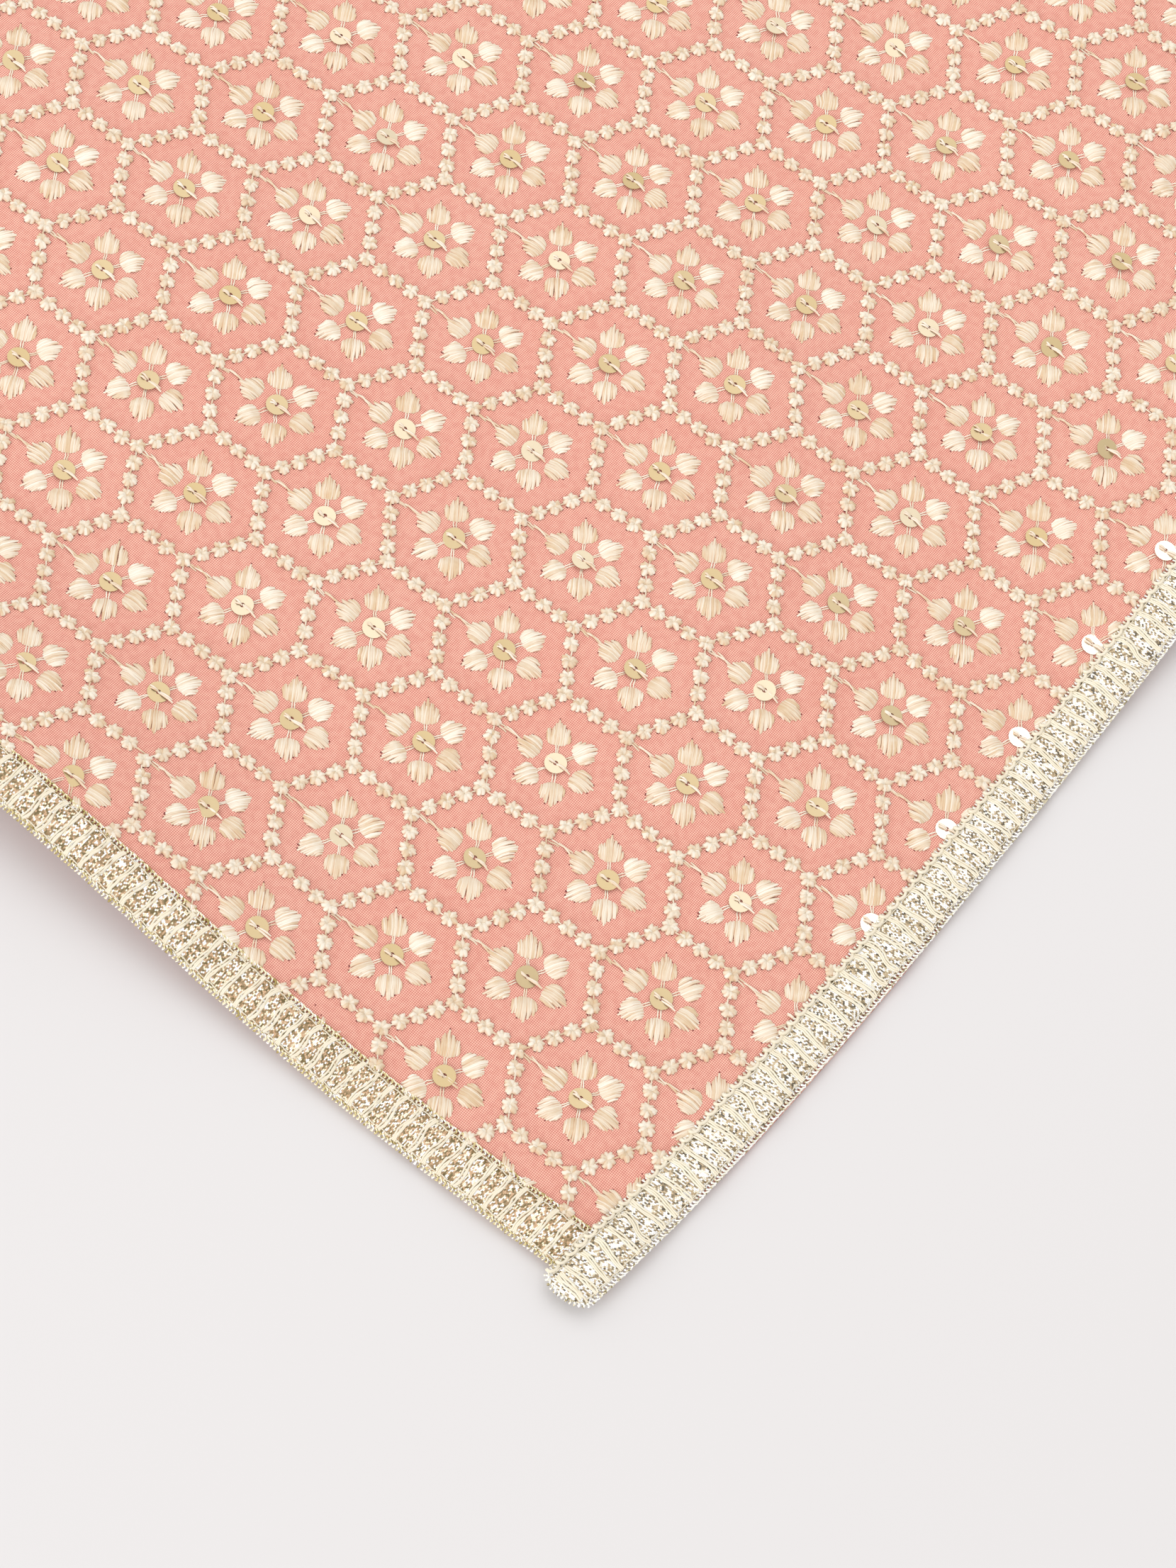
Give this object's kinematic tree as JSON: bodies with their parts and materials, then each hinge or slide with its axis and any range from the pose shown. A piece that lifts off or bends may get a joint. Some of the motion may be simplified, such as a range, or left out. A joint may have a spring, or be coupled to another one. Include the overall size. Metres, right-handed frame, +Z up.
{
  "type": "dupatta stole",
  "caption": "Rectangular stole of salmon crepe laid flat, embroidered with a hexagon lattice of flowers and sequins, with metallic tape on all four sides.",
  "frame": {"origin": "centre of the bounding box, on the surface that the stole lies on", "axes": "+X along the length, +Y across the width, +Z up from the surface"},
  "size_m": [2.1046, 0.7008, 0.0106],
  "materials": {
    "embroidered_crepe": "matte plain weave with cream satin-stitch embroidery",
    "metallic_tape": "glittering woven metallic yarn"
  },
  "bodies": {
    "root": {"cloth_panel": "embroidered_crepe", "lace_south": "metallic_tape", "lace_north": "metallic_tape", "lace_west": "metallic_tape", "lace_east": "metallic_tape"}
  },
  "joints": []
}
